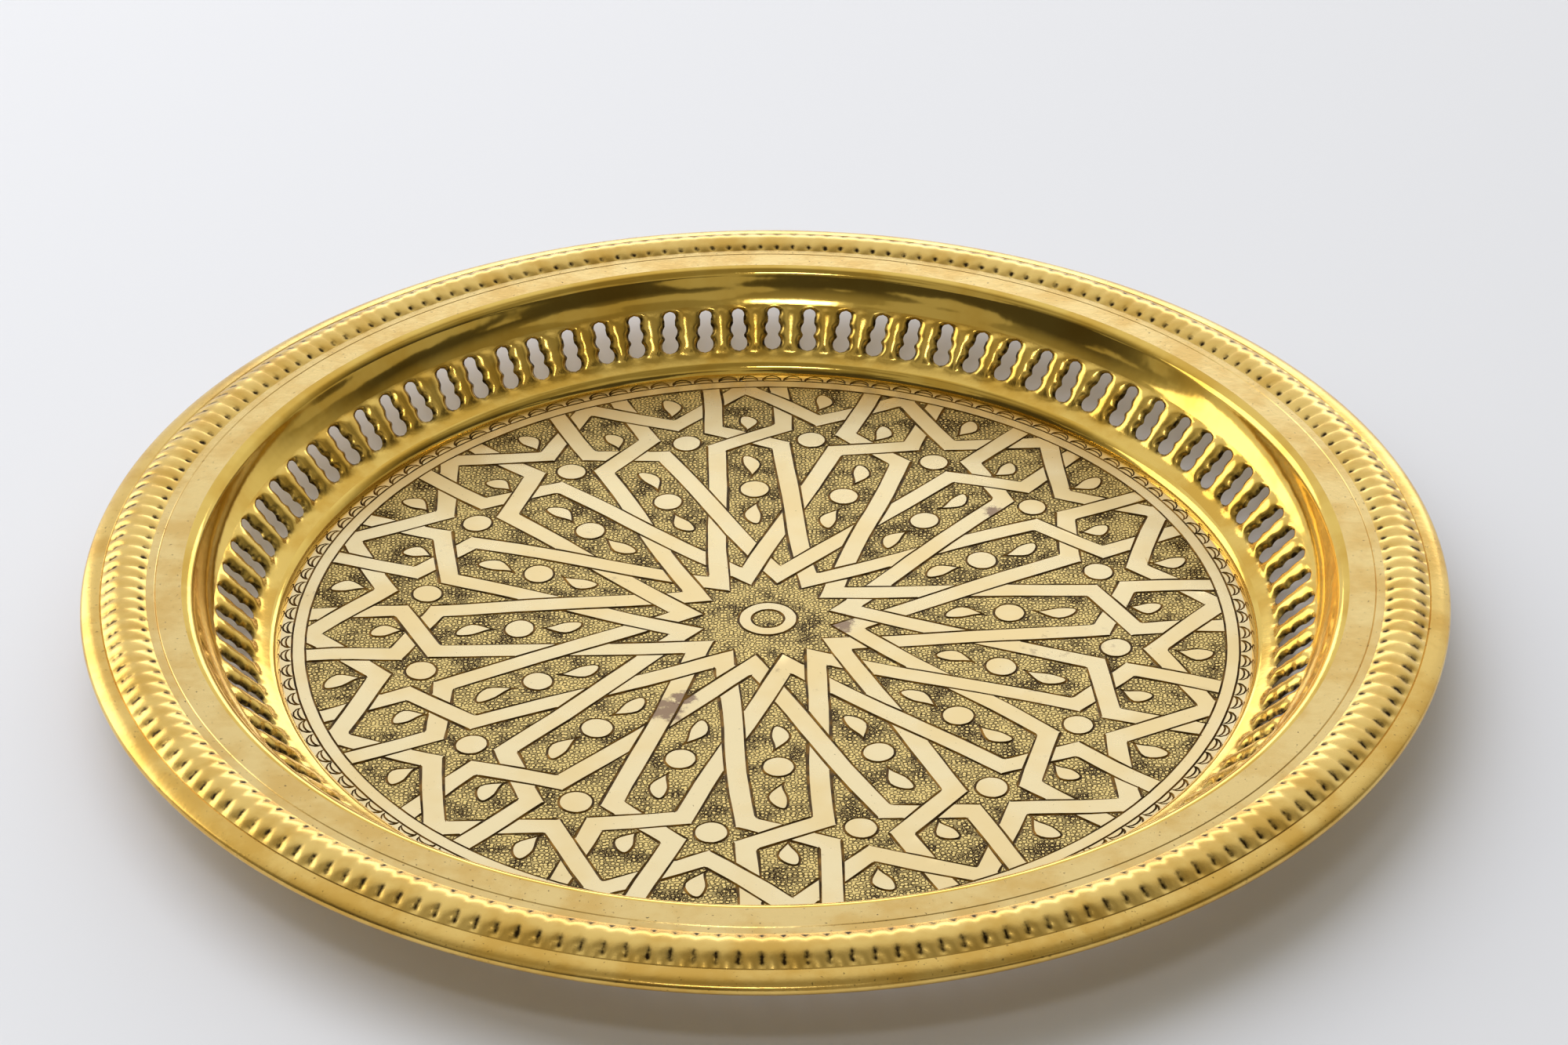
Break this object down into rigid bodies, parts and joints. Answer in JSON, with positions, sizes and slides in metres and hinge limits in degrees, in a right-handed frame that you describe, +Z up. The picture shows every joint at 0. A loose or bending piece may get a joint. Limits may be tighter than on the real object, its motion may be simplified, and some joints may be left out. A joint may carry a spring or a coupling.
{
  "type": "serving tray",
  "caption": "Round serving tray of thin brass with an engraved star floor, a pierced gallery, a plain flange, a fluted band and a wired rolled edge.",
  "frame": {"origin": "centre of the flat floor's underside, on the tray's axis", "axes": "+Z up along the tray's axis, +Y towards the far side, +X to the right"},
  "size_m": [0.3999, 0.4, 0.0305],
  "materials": {
    "engraved_brass": "polished and engraved, dark in the cuts",
    "polished_brass": "mirror polished",
    "pierced_brass": "polished, embossed and pierced",
    "flange_brass": "satin polished, lightly pitted",
    "fluted_brass": "satin polished, dark in the flutes",
    "wire_steel": "drawn wire"
  },
  "bodies": {
    "root": {"engraved_floor": "engraved_brass", "floor_step": "polished_brass", "pierced_gallery": "pierced_brass", "cove_wall": "polished_brass", "plain_flange": "flange_brass", "fluted_band": "fluted_brass", "rolled_edge": "flange_brass", "rim_wire": "wire_steel"}
  },
  "joints": []
}
